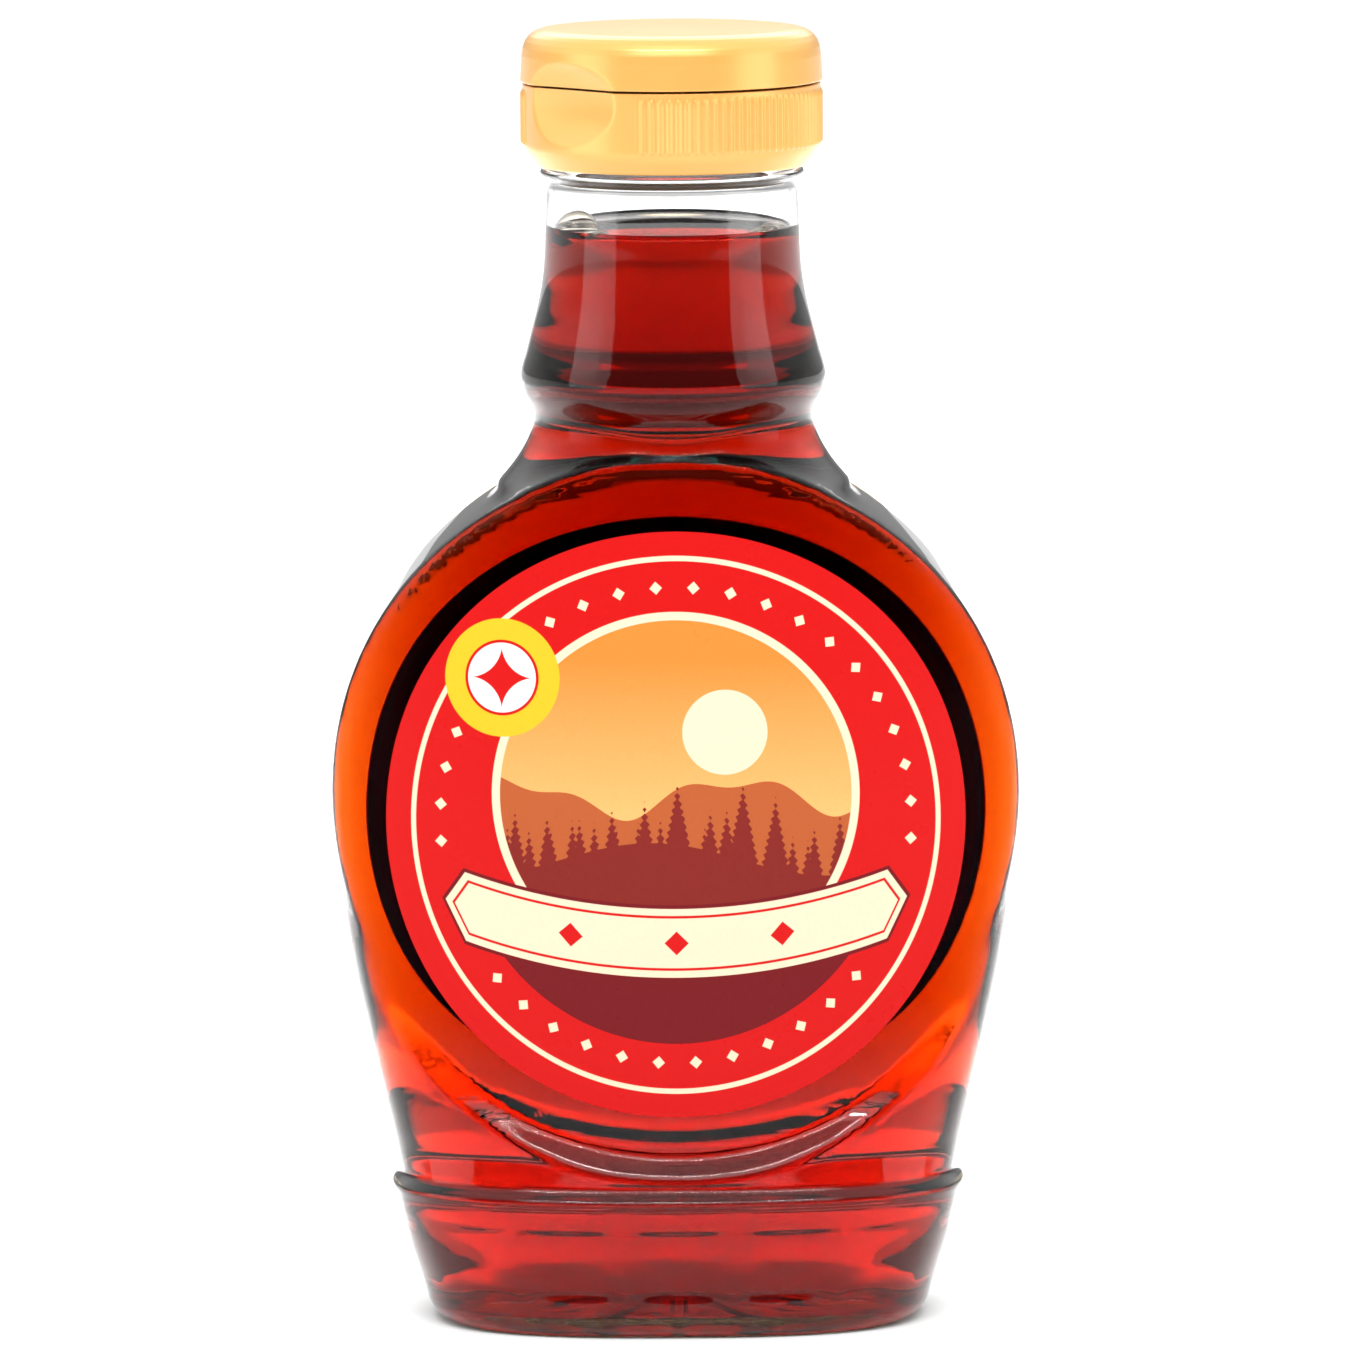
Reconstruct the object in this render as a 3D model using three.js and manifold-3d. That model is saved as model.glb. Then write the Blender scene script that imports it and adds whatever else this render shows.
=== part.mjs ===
// A clear flask-shaped syrup bottle with a hinged gold cap, standing on its base.
// Millimetres, +Z up. The front label faces -Y and the foot rests on z = 0.
import * as THREE from 'three';
import { LoftGeometry } from 'three/addons/geometries/LoftGeometry.js';
import { mergeVertices } from 'three/addons/utils/BufferGeometryUtils.js';
import loadManifold from 'manifold-3d';

// Drum: a round flask standing on its edge, with a bowed panel front and back
const DRUM_RADIUS = 45.55;
const DRUM_CENTRE_Z = 71.2;
const RIM_CROWN = 0.3;
const PANEL_RADIUS = 46.8;
const PANEL_CENTRE_Z = 70.6;
const PANEL_HALF_DEPTH = 18.8;
const PANEL_BOW_RADIUS = 90;
const PANEL_DRAW = 0.06;
const PANEL_EDGE = 2;
const LEDGE_SLOPE = 0.8;
const LEDGE_SOFT = 0.7;

// Pedestal: an oval foot that the drum narrows into
const PEDESTAL_HALF_WIDTH = 45.4;
const PEDESTAL_HALF_DEPTH = 20.1;
const PEDESTAL_SQUARENESS = 2.2;
const SIDE_DRAW = 0.2547;
const FRONT_DRAW = 0.01;
const DRAW_ROUND = 24;
const PEDESTAL_BLEND = 1;
const FOOT_ROUND = 3;

// Bead and flat facets round the pedestal
const BEAD_Z = 18.8;
const BEAD_WIDTH = 1.6;
const BEAD_HEIGHT = 0.4;
const BAND_TOP = 20.5;
const BAND_PROUD = 1.2;
const FOOT_PROUD = 0.5;
const FACETS = 16;
const FACET_DEPTH = 0.5;
const FACET_BOTTOM = 6;
const FACET_TOP = 15;

// Neck: a plain round tube with a ring near its root and a bead under the cap
const NECK_RADIUS = 17;
const NECK_BLEND = 16;
const FRONT_BLEND = 5;
const NECK_ROOT = 112;
const ROOT_WAIST = 1.5;
const RING_Z = 126;
const RING_ROOT = 120.5;
const RING_SLOPE = 0.8;
const RING_SOFT = 2.5;
const FLARE_TOP = 138.6;
const FLARE_SLOPE = 0.262;
const FLARE_SOFT = 1.2;
const THROAT_BOTTOM = 148.5;
const THROAT_TOP = 152;
const FINISH_RADIUS = 16.2;
const NECK_BEAD_Z = 153;
const NECK_BEAD_WIDTH = 0.5;
const NECK_BEAD_HEIGHT = 1.1;
const MOUTH_Z = 161.6;

// Wall and contents
const WALL = 0.9;
const BASE_WALL = 1.6;
const FLOOR_STEPS = [[0, 1.8], [0.6, 0.4]];
const GAP = 0.3;
const FILL_Z = 145;

// Cap: a ribbed skirt with a hinged lid, and a thumb hollow across the seam
const CAP_RADIUS = 20;
const SKIRT_RADIUS = 19.6;
const SKIRT_BOTTOM = 153.9;
const SKIRT_CHAMFER = 2.3;
const SKIRT_INSET = 1.4;
const SKIRT_BORE = 17;
const SEAM_Z = 164.8;
const SEAM_GAP = 0.3;
const DECK_THICKNESS = 2.4;
const COLLAR_RADIUS = 6.2;
const COLLAR_WALL = 1.2;
const COLLAR_HEIGHT = 2;
const CAP_TOP = 172;
const LID_RADIUS = 19.9;
const LID_EDGE = 2.6;
const LID_RIM = 2.7;
const LID_HOLLOW = 3.2;
const RIBS = 106;
const RIB_HEIGHT = 0.3;
const RIB_BOTTOM = 156.6;
const RIB_TOP = 163.9;
const RIB_FREE_AT_THUMB = THREE.MathUtils.degToRad(31);
const RIB_FREE_AT_HINGE = THREE.MathUtils.degToRad(16);
const THUMB_ANGLE = THREE.MathUtils.degToRad(-45);
const THUMB_Z = 162.8;
const THUMB_REACH = 26;
const THUMB_SIZE = new THREE.Vector3(8.2, 30, 8.5);

// Labels: round film stickers on the two panels
const LABEL_RADIUS = 38;
const LABEL_Z = 68.4;
const LABEL_THICKNESS = 0.3;

// Fineness of the faceted surfaces
const AROUND = 48;
const BODY_SPANS = [[28, 8], [109, 6], [120, 4], [RING_Z + 3, 3]];
const LABEL_AROUND = 32;
const LABEL_RINGS = 3;

const { lerp, smoothstep } = THREE.MathUtils;
const bell = (t) => Math.exp(-t * t);
const smoothMin = (a, b, soft) => Math.min(a, b) - Math.max(soft - Math.abs(a - b), 0) ** 2 / (4 * soft);
const smoothMax = (a, b, soft) => -smoothMin(-a, -b, soft);

// How far the outline has drawn in at a height, nothing at the drum's middle
function drawIn(z) {
  return Math.hypot(z - DRUM_CENTRE_Z, DRAW_ROUND) - DRAW_ROUND;
}

// Half depth of the bowed panels at a point of the front view
function panelDepth(x, z) {
  const bow = PANEL_BOW_RADIUS - Math.sqrt(PANEL_BOW_RADIUS ** 2 - x * x);
  return PANEL_HALF_DEPTH - PANEL_DRAW * drawIn(z) - bow;
}

// How far the bead, the band under it, its facets and the round of the foot stand out
function footRelief(x, y, z, halfWidth, halfDepth) {
  const bead = BEAD_HEIGHT * bell((z - BEAD_Z) / BEAD_WIDTH);
  const proud = lerp(FOOT_PROUD, BAND_PROUD, smoothstep(z, FOOT_ROUND, FACET_TOP - 2));
  const band = proud * (1 - smoothstep(z, BAND_TOP - 3, BAND_TOP));
  const turn = Math.atan2(x / halfWidth, y / halfDepth) * FACETS;
  const flat = Math.cos(turn / 2) ** 2;
  const above = smoothstep(z, FACET_BOTTOM - 1, FACET_BOTTOM);
  const facet = FACET_DEPTH * flat * above * (1 - smoothstep(z, FACET_TOP - 2, FACET_TOP));
  const low = Math.max(FOOT_ROUND - z, 0);
  const rounding = FOOT_ROUND - Math.sqrt(FOOT_ROUND ** 2 - low ** 2);
  return bead + band - facet - rounding;
}

// Distance outside the oval pedestal, measured from the axis
function pedestalField(x, y, z) {
  const halfWidth = PEDESTAL_HALF_WIDTH - SIDE_DRAW * drawIn(z);
  const halfDepth = PEDESTAL_HALF_DEPTH - FRONT_DRAW * drawIn(z);
  const n = PEDESTAL_SQUARENESS;
  const oval = (Math.abs(x / halfWidth) ** n + Math.abs(y / halfDepth) ** n) ** (1 / n);
  const radius = Math.hypot(x, y);
  const above = Math.max(z - DRUM_CENTRE_Z, 0);
  return radius - radius / oval + above - footRelief(x, y, z, halfWidth, halfDepth);
}

// Radius of the neck, from its root up to the mouth
function neckRadius(z) {
  const swell = smoothMin(FLARE_SLOPE * (FLARE_TOP - z), RING_SLOPE * (z - RING_ROOT), RING_SOFT);
  const ring = smoothMax(swell, 0, FLARE_SOFT);
  const waist = ROOT_WAIST * (1 - smoothstep(z, NECK_ROOT, RING_Z));
  const throat = (NECK_RADIUS - FINISH_RADIUS) * smoothstep(z, THROAT_BOTTOM, THROAT_TOP);
  const bead = NECK_BEAD_HEIGHT * bell((z - NECK_BEAD_Z) / NECK_BEAD_WIDTH);
  return NECK_RADIUS + ring - waist - throat + bead;
}

// Distance outside the whole bottle, below zero within it
function bottleField(x, y, z) {
  const fromCentre = Math.hypot(x, z - DRUM_CENTRE_Z);
  const rim = fromCentre - DRUM_RADIUS + RIM_CROWN * (y / PANEL_HALF_DEPTH) ** 2;
  const past = Math.hypot(x, z - PANEL_CENTRE_Z) - PANEL_RADIUS;
  const ledge = LEDGE_SLOPE * (past + Math.hypot(past, LEDGE_SOFT)) / 2;
  const panel = Math.abs(y) - panelDepth(x, z) - ledge;
  const blank = smoothMin(rim, pedestalField(x, y, z), PEDESTAL_BLEND);
  const body = smoothMax(blank, panel, PANEL_EDGE);
  const neck = Math.hypot(x, y) - neckRadius(z) + 2 * Math.max(NECK_ROOT - z, 0);
  const sideways = x * x / (x * x + y * y);
  return smoothMin(body, neck, lerp(FRONT_BLEND, NECK_BLEND, sideways));
}

// One level ring of the bottle's shape, set in from its outside
function skinRing(z, inset) {
  const ring = [];
  for (let i = 0; i < AROUND; i += 1) {
    const angle = 2 * Math.PI * (i + 0.5) / AROUND;
    const across = Math.sin(angle);
    const ahead = -Math.cos(angle);
    let inside = 1;
    let outside = 60;
    while (outside - inside > 1e-5) {
      const middle = (inside + outside) / 2;
      if (bottleField(middle * across, middle * ahead, z) < -inset) {
        inside = middle;
      } else {
        outside = middle;
      }
    }
    ring.push(new THREE.Vector3(outside * across, outside * ahead, z));
  }
  return ring;
}

// Heights from one level to the next, leaving the last one to the following span
function levels(spans, top) {
  const heights = [];
  spans.forEach(([start, count], i) => {
    const end = i + 1 < spans.length ? spans[i + 1][0] : top;
    for (let k = 0; k < count; k += 1) {
      heights.push(start + (end - start) * k / count);
    }
  });
  return [...heights, top];
}

const manifold = await loadManifold();
manifold.setup();
const { Manifold, Mesh: SolidMesh } = manifold;

// A geometry as a closed solid, without the triangles that shrink to a line at the axis
function solid(geometry) {
  const bare = new THREE.BufferGeometry();
  bare.setAttribute('position', geometry.getAttribute('position'));
  bare.setIndex(geometry.getIndex());
  const merged = mergeVertices(bare, 1e-4);
  const index = merged.getIndex().array;
  const faces = [];
  for (let i = 0; i < index.length; i += 3) {
    const [a, b, c] = index.slice(i, i + 3);
    if (a !== b && b !== c && c !== a) {
      faces.push(a, b, c);
    }
  }
  const vertProperties = Float32Array.from(merged.getAttribute('position').array);
  return new Manifold(new SolidMesh({ numProp: 3, vertProperties, triVerts: Uint32Array.from(faces) }));
}

// A closed solid as a geometry to draw
function surface(body) {
  const { numProp, vertProperties, triVerts } = body.getMesh();
  const geometry = new THREE.BufferGeometry();
  const points = new THREE.InterleavedBuffer(vertProperties, numProp);
  geometry.setAttribute('position', new THREE.InterleavedBufferAttribute(points, 3, 0));
  geometry.setIndex(new THREE.BufferAttribute(triVerts, 1));
  return geometry;
}

// Level rings of the cavity, from its floor up, set in by a gap for what lies within
function cavityRings(gap, top) {
  const spans = [[BASE_WALL + 2, 2], [FACET_TOP - 2, 2], [22, 2], ...BODY_SPANS];
  const floor = FLOOR_STEPS.map(([rise, inset]) => skinRing(BASE_WALL + gap + rise, WALL + gap + inset));
  return [...floor, ...levels(spans, top).map((z) => skinRing(z, WALL + gap))];
}

// Bottle: the skin from the foot up to the mouth, less the cavity
function bottle() {
  const spans = [[0, 3], [FOOT_ROUND, 1], [FACET_BOTTOM - 1, 1], [FACET_BOTTOM, 2], [FACET_TOP - 2, 2],
    [BEAD_Z - 1.5, 2], [BEAD_Z + 1, 4], ...BODY_SPANS, [FILL_Z, 1],
    [THROAT_BOTTOM, 2], [THROAT_TOP, 3], [NECK_BEAD_Z + 0.8, 1]];
  const ends = { capStart: true, capEnd: true };
  const outside = new LoftGeometry(levels(spans, MOUTH_Z).map((z) => skinRing(z, 0)), ends);
  const throat = [THROAT_TOP, MOUTH_Z + 1].map((z) => skinRing(z, WALL));
  const cavity = new LoftGeometry([...cavityRings(0, FILL_Z), ...throat], ends);
  return surface(solid(outside).subtract(solid(cavity)));
}

// Syrup: fills the bottle up to a level in the neck, just clear of the wall
function syrup() {
  return new LoftGeometry(cavityRings(GAP, FILL_Z), { capStart: true, capEnd: true });
}

// Label: a round sticker rolled onto a panel, front at side 1 and back at side -1
function label(side) {
  const ring = (radius, lift) => {
    const points = [];
    for (let i = 0; i < LABEL_AROUND; i += 1) {
      const turn = 2 * Math.PI * i / LABEL_AROUND;
      const z = LABEL_Z + radius * Math.sin(turn);
      const bend = radius * Math.cos(turn) / PANEL_BOW_RADIUS;
      const x = (PANEL_BOW_RADIUS + lift) * Math.sin(bend);
      const centre = panelDepth(0, z) - PANEL_BOW_RADIUS;
      const depth = centre + (PANEL_BOW_RADIUS + lift) * Math.cos(bend);
      points.push(new THREE.Vector3(side * x, -side * depth, z));
    }
    return points;
  };
  const radii = [];
  for (let k = 0; k <= LABEL_RINGS; k += 1) {
    radii.push(LABEL_RADIUS * k / LABEL_RINGS);
  }
  const inside = radii.map((radius) => ring(radius, GAP));
  const outside = radii.map((radius) => ring(radius, GAP + LABEL_THICKNESS));
  return new LoftGeometry([...inside, ...outside.reverse()]);
}

// A profile of radius and height turned round the upright axis
function turned(profile) {
  const points = profile.map(([radius, z]) => new THREE.Vector2(radius, z));
  return solid(new THREE.LatheGeometry(points, AROUND).rotateX(Math.PI / 2));
}

// Thumb hollow: a shallow oval scooped out of the lid and the skirt alike
function thumbHollow() {
  const scoop = new THREE.SphereGeometry(1, 40, 24);
  scoop.scale(THUMB_SIZE.x, THUMB_SIZE.y, THUMB_SIZE.z);
  scoop.translate(THUMB_REACH, 0, THUMB_Z);
  scoop.rotateZ(THUMB_ANGLE - Math.PI / 2);
  return solid(scoop);
}

// Ribs: a toothed band round the skirt, plain beside the thumb hollow and the hinge
function ribs() {
  const outline = new THREE.Shape();
  for (let i = 0; i < 2 * RIBS; i += 1) {
    const turn = Math.PI * i / RIBS;
    const fromThumb = Math.abs(Math.atan2(Math.sin(turn), Math.cos(turn)));
    const ribbed = fromThumb > RIB_FREE_AT_THUMB && fromThumb < Math.PI - RIB_FREE_AT_HINGE;
    const radius = CAP_RADIUS - RIB_HEIGHT * (ribbed ? i % 2 : 0.5);
    const angle = turn + THUMB_ANGLE - Math.PI / 2;
    const place = [radius * Math.cos(angle), radius * Math.sin(angle)];
    if (i === 0) {
      outline.moveTo(...place);
    } else {
      outline.lineTo(...place);
    }
  }
  const bore = new THREE.Path().absarc(0, 0, (SKIRT_RADIUS + SKIRT_BORE) / 2, 0, 2 * Math.PI);
  outline.holes.push(bore);
  const band = new THREE.ExtrudeGeometry(outline, { depth: RIB_TOP - RIB_BOTTOM, bevelEnabled: false });
  return solid(band.translate(0, 0, RIB_BOTTOM));
}

// Cap base: the screw-on skirt and the deck with a low collar round the pouring place
function capBase() {
  const deck = SEAM_Z - SEAM_GAP / 2;
  const body = turned([
    [0, deck - DECK_THICKNESS],
    [SKIRT_BORE, deck - DECK_THICKNESS],
    [SKIRT_BORE, SKIRT_BOTTOM],
    [SKIRT_RADIUS - SKIRT_INSET, SKIRT_BOTTOM],
    [SKIRT_RADIUS, SKIRT_BOTTOM + SKIRT_CHAMFER],
    [SKIRT_RADIUS, deck],
    [COLLAR_RADIUS, deck],
    [COLLAR_RADIUS, deck + COLLAR_HEIGHT],
    [COLLAR_RADIUS - COLLAR_WALL, deck + COLLAR_HEIGHT],
    [COLLAR_RADIUS - COLLAR_WALL, deck],
    [0, deck],
  ]);
  return surface(body.add(ribs()).subtract(thumbHollow()));
}

// Cap lid: a shallow turned cover with a rounded upper edge
function capLid() {
  const bottom = SEAM_Z + SEAM_GAP / 2;
  const edge = [];
  for (let k = 0; k <= 4; k += 1) {
    const turn = Math.PI / 2 * k / 4;
    edge.push([LID_RADIUS - LID_EDGE * (1 - Math.cos(turn)), CAP_TOP - LID_EDGE * (1 - Math.sin(turn))]);
  }
  const body = turned([
    [0, bottom + LID_HOLLOW],
    [LID_RADIUS - LID_RIM, bottom + LID_HOLLOW],
    [LID_RADIUS - LID_RIM, bottom],
    [LID_RADIUS, bottom],
    ...edge,
    [0, CAP_TOP],
  ]);
  return surface(body.subtract(thumbHollow()));
}

const clearPlastic = new THREE.MeshStandardMaterial({
  color: 0xf3efe9, roughness: 0.05, metalness: 0, transparent: true, opacity: 0.25 });
const amberSyrup = new THREE.MeshStandardMaterial({ color: 0xa83208, roughness: 0.05, metalness: 0 });
const goldPlastic = new THREE.MeshStandardMaterial({ color: 0xe0a63c, roughness: 0.35, metalness: 0.3 });
const goldLid = goldPlastic.clone();
const redFilm = new THREE.MeshStandardMaterial({ color: 0xc8221f, roughness: 0.4, metalness: 0 });
const darkFilm = new THREE.MeshStandardMaterial({ color: 0x7a1514, roughness: 0.4, metalness: 0 });

const pieces = [
  ['bottle', bottle(), clearPlastic],
  ['syrup', syrup(), amberSyrup],
  ['cap_base', capBase(), goldPlastic],
  ['cap_lid', capLid(), goldLid],
  ['front_label', label(1), redFilm],
  ['back_label', label(-1), darkFilm],
];

const syrupBottle = new THREE.Group();
for (const [name, geometry, material] of pieces) {
  const piece = new THREE.Mesh(geometry, material);
  piece.name = name;
  syrupBottle.add(piece);
}

export default syrupBottle;
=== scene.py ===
import math

import bmesh
import bpy
import numpy as np
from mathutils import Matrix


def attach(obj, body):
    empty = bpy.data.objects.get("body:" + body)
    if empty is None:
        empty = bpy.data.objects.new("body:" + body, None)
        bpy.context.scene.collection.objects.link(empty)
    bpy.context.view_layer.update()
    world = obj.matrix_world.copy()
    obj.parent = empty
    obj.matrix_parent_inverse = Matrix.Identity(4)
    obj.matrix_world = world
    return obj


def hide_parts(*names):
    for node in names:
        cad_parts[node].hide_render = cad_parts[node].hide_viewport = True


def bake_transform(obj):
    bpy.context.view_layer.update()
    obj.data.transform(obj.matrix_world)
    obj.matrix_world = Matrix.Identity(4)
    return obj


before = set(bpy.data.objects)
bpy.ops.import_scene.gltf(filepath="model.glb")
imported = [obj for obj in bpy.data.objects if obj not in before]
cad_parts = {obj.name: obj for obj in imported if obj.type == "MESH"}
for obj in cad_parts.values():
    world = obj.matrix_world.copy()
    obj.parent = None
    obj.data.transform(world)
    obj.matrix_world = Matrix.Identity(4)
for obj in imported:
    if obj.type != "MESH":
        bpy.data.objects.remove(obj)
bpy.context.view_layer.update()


# Bottle: a round clear flask on an oval foot with flats, swollen to a ring below its short neck.
# It is blow-moulded in one piece of clear plastic, about a millimetre thick and thicker at the neck.
# The labels are stuck on its two bowed faces and the cap screws over its mouth. Sizes are in mm.
MM = 0.001
DRUM_RADIUS = 45.55
DRUM_CENTRE_Z = 71.2
RIM_CROWN = 0.3
PANEL_RADIUS = 46.8
PANEL_CENTRE_Z = 70.6
PANEL_HALF_DEPTH = 18.8
PANEL_BOW_RADIUS = 90.0
BOW_REACH = 80.0
PANEL_DRAW = 0.06
PANEL_EDGE = 1.3
LEDGE_SLOPE = 1.3
LEDGE_SOFT = 0.7
PEDESTAL_HALF_WIDTH = 45.4
PEDESTAL_HALF_DEPTH = 20.1
FOOT_SQUARENESS = 2.7
PEDESTAL_SQUARENESS = 2.3
SQUARENESS_RISE = 6.0
PEDESTAL_BLEND = 1.0
SIDE_DRAW = 0.2547
FRONT_DRAW = 0.01
DRAW_ROUND = 24.0
FOOT_ROUND = 3.0
FOOT_PROUD = 0.5
BEAD_Z = 18.5
BEAD_WIDTH = 1.0
BEAD_HEIGHT = 0.4
BAND_TOP = 20.4
BAND_PROUD = 1.2
BAND_FALL = 2.2
PROUD_Z = 13.0
FACETS = 16
FACET_DEPTH = 0.45
FACET_FADE = 0.8
FACET_FADE_FROM = 0.55
FACET_FADE_TO = 0.9
FACET_BOTTOM = 6.0
FACET_TOP = 15.0
FACET_RUN_IN = 1.0
FACET_RUN_OUT = 1.2
NECK_RADIUS = 17.0
NECK_BLEND = 16.0
FRONT_BLEND = 2.5
NECK_ROOT = 112.0
ROOT_TAPER = 2.0
ROOT_WAIST = 1.5
RING_Z = 126.0
RING_ROOT = 120.5
RING_SLOPE = 0.8
RING_SOFT = 2.5
FLARE_TOP = 138.6
FLARE_SLOPE = 0.262
FLARE_SOFT = 1.2
THROAT_BOTTOM = 141.0
THROAT_TOP = 152.0
FINISH_RADIUS = 16.6
NECK_BEAD_Z = 153.0
NECK_BEAD_WIDTH = 0.5
NECK_BEAD_HEIGHT = 1.1
MOUTH_Z = 161.6
WALL = 0.9
NECK_WALL = 1.2
NECK_BORE = 15.6
BORE_BOTTOM = 140.6
BASE_WALL = 1.6
BASE_CORNER = 1.8
PUSH_UP = 0.9
PUSH_RIBS = 10
PUSH_RIB_HEIGHT = 0.5
BOTTLE_COLUMNS = 256
OUTER_ROWS = 270
INNER_ROWS = 90
BASE_ROWS = 12
HALVINGS = 36
NEAREST = 1.0
FURTHEST = 60.0
LEVEL_SAMPLES = 1600
LEVEL_DIRECTIONS = 13
BEAD_FINENESS = 2.0
BEAD_FINE_REACH = 10.0
FILL_Z = 145.0
CLEAR = (0.985, 0.985, 0.98, 1.0)
# Painted shade: the grey put on the clear wall above the syrup to dim the empty neck.
HEADSPACE_SHADE_GREY = (0.78, 0.78, 0.775, 1.0)
HEADSPACE_SHADE_FROM = 146.0
HEADSPACE_SHADE_OVER = 2.5
DULL_MIDDLE = 78.5
DULL_REACH = 34.0
DULL_FADE = 20.0
GLOSS = 0.6


def smooth_step(value, low, high):
    """0 below low, 1 above high, and a smooth cubic rise between them."""
    t = np.clip((value - low) / (high - low), 0.0, 1.0)
    return t * t * (3.0 - 2.0 * t)


def bell(t):
    """A bump of height 1 around 0: e to the power of minus t squared."""
    return np.exp(-t * t)


def soft_min(a, b, width):
    """The lesser of two fields, with the corner between them rounded over the width."""
    return np.minimum(a, b) - np.maximum(width - np.abs(a - b), 0.0) ** 2 / (4.0 * width)


def draw_in(z):
    """How far up or down from the drum's middle a height is, with the middle rounded."""
    return np.hypot(z - DRUM_CENTRE_Z, DRAW_ROUND) - DRAW_ROUND


def panel_depth(x, z):
    """Half the depth between the two faces: most in the middle, less along a circle to the sides."""
    bow = PANEL_BOW_RADIUS - np.sqrt(PANEL_BOW_RADIUS**2 - np.minimum(np.abs(x), BOW_REACH) ** 2)
    return PANEL_HALF_DEPTH - PANEL_DRAW * draw_in(z) - bow


def foot_relief(x, y, z, a, b):
    """What the foot adds to the plain oval: a proud band, a bead, flats cut all round, a round edge."""
    bead = BEAD_HEIGHT * bell((z - BEAD_Z) / BEAD_WIDTH)
    proud = FOOT_PROUD + (BAND_PROUD - FOOT_PROUD) * smooth_step(z, FOOT_ROUND, PROUD_Z)
    band = proud * (1.0 - smooth_step(z, BAND_TOP - BAND_FALL, BAND_TOP))
    across = 2.0 * ((np.arctan2(x / a, y / b) * FACETS / (2.0 * math.pi) + 0.5) % 1.0) - 1.0
    fade = FACET_FADE * smooth_step(np.abs(x) / a, FACET_FADE_FROM, FACET_FADE_TO)
    flat = (1.0 - across**2) * (1.0 - fade)
    height = smooth_step(z, FACET_BOTTOM - FACET_RUN_IN, FACET_BOTTOM)
    height = height * (1.0 - smooth_step(z, FACET_TOP - FACET_RUN_OUT, FACET_TOP))
    below = np.clip(FOOT_ROUND - z, 0.0, FOOT_ROUND)
    edge = FOOT_ROUND - np.sqrt(FOOT_ROUND**2 - below**2)
    return bead + band - FACET_DEPTH * flat * height - edge


def pedestal_field(x, y, z):
    """Distance out from the foot: a rounded oval that draws in downwards, with its relief."""
    a = PEDESTAL_HALF_WIDTH - SIDE_DRAW * draw_in(z)
    b = PEDESTAL_HALF_DEPTH - FRONT_DRAW * draw_in(z)
    above_foot = smooth_step(z, BEAD_Z, BEAD_Z + SQUARENESS_RISE)
    n = FOOT_SQUARENESS + (PEDESTAL_SQUARENESS - FOOT_SQUARENESS) * above_foot
    oval = (np.abs(x / a) ** n + np.abs(y / b) ** n) ** (1.0 / n)
    radius = np.hypot(x, y)
    above = np.maximum(z - DRUM_CENTRE_Z, 0.0)
    return radius - radius / oval + above - foot_relief(x, y, z, a, b)


def neck_radius(z):
    """Radius of the neck: a cylinder with a waist, a swollen ring, a step in and a small bead."""
    flare = FLARE_SLOPE * (FLARE_TOP - z)
    ring = soft_min(flare, RING_SLOPE * (z - RING_ROOT), RING_SOFT)
    ring = -soft_min(-ring, 0.0, FLARE_SOFT)
    waist = ROOT_WAIST * (1.0 - smooth_step(z, NECK_ROOT, RING_Z))
    throat = (NECK_RADIUS - FINISH_RADIUS) * smooth_step(z, THROAT_BOTTOM, THROAT_TOP)
    bead = NECK_BEAD_HEIGHT * bell((z - NECK_BEAD_Z) / NECK_BEAD_WIDTH)
    return NECK_RADIUS + ring - waist - throat + bead


def bottle_field(x, y, z):
    """Distance out from the bottle: drum and foot joined, cut by the two faces, joined to the neck."""
    from_centre = np.hypot(x, z - DRUM_CENTRE_Z)
    rim = from_centre - DRUM_RADIUS + RIM_CROWN * (y / PANEL_HALF_DEPTH) ** 2
    past = np.hypot(x, z - PANEL_CENTRE_Z) - PANEL_RADIUS
    ledge = LEDGE_SLOPE * (past + np.hypot(past, LEDGE_SOFT)) / 2.0
    panel = np.abs(y) - panel_depth(x, z) - ledge
    body = soft_min(rim, pedestal_field(x, y, z), PEDESTAL_BLEND)
    body = -soft_min(-body, -panel, PANEL_EDGE)
    neck = np.hypot(x, y) - neck_radius(z) + ROOT_TAPER * np.maximum(NECK_ROOT - z, 0.0)
    sideways = x**2 / (x**2 + y**2)
    return soft_min(body, neck, FRONT_BLEND + (NECK_BLEND - FRONT_BLEND) * sideways)


def skin_radius(angle, z, inset):
    """Radius where the bottle field equals minus the inset, found by halving an interval."""
    low = np.full(np.broadcast(angle, z).shape, NEAREST)
    high = np.full_like(low, FURTHEST)
    for _ in range(HALVINGS):
        middle = (low + high) / 2.0
        outside = bottle_field(middle * np.sin(angle), -middle * np.cos(angle), z) > -inset
        high = np.where(outside, middle, high)
        low = np.where(outside, low, middle)
    return (low + high) / 2.0


def even_levels(bottom, top, count):
    """Heights spaced evenly along the steepest line up the bottle's skin, and closer near the bead."""
    z = np.linspace(bottom, top, LEVEL_SAMPLES)
    radius = skin_radius(np.linspace(0.0, math.pi, LEVEL_DIRECTIONS)[None, :], z[:, None], 0.0)
    step = np.hypot(np.diff(z), np.abs(np.diff(radius, axis=0)).max(axis=1))
    step = step * (1.0 + BEAD_FINENESS * bell((z[1:] - BEAD_Z) / BEAD_FINE_REACH))
    along = np.concatenate([[0.0], np.cumsum(step)])
    return np.interp(np.linspace(0.0, along[-1], count), along, z)


def around(radius, angle, z):
    """Points at a radius, an angle from the front and a height."""
    return np.stack(np.broadcast_arrays(radius * np.sin(angle), -radius * np.cos(angle), z), axis=-1)


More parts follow.
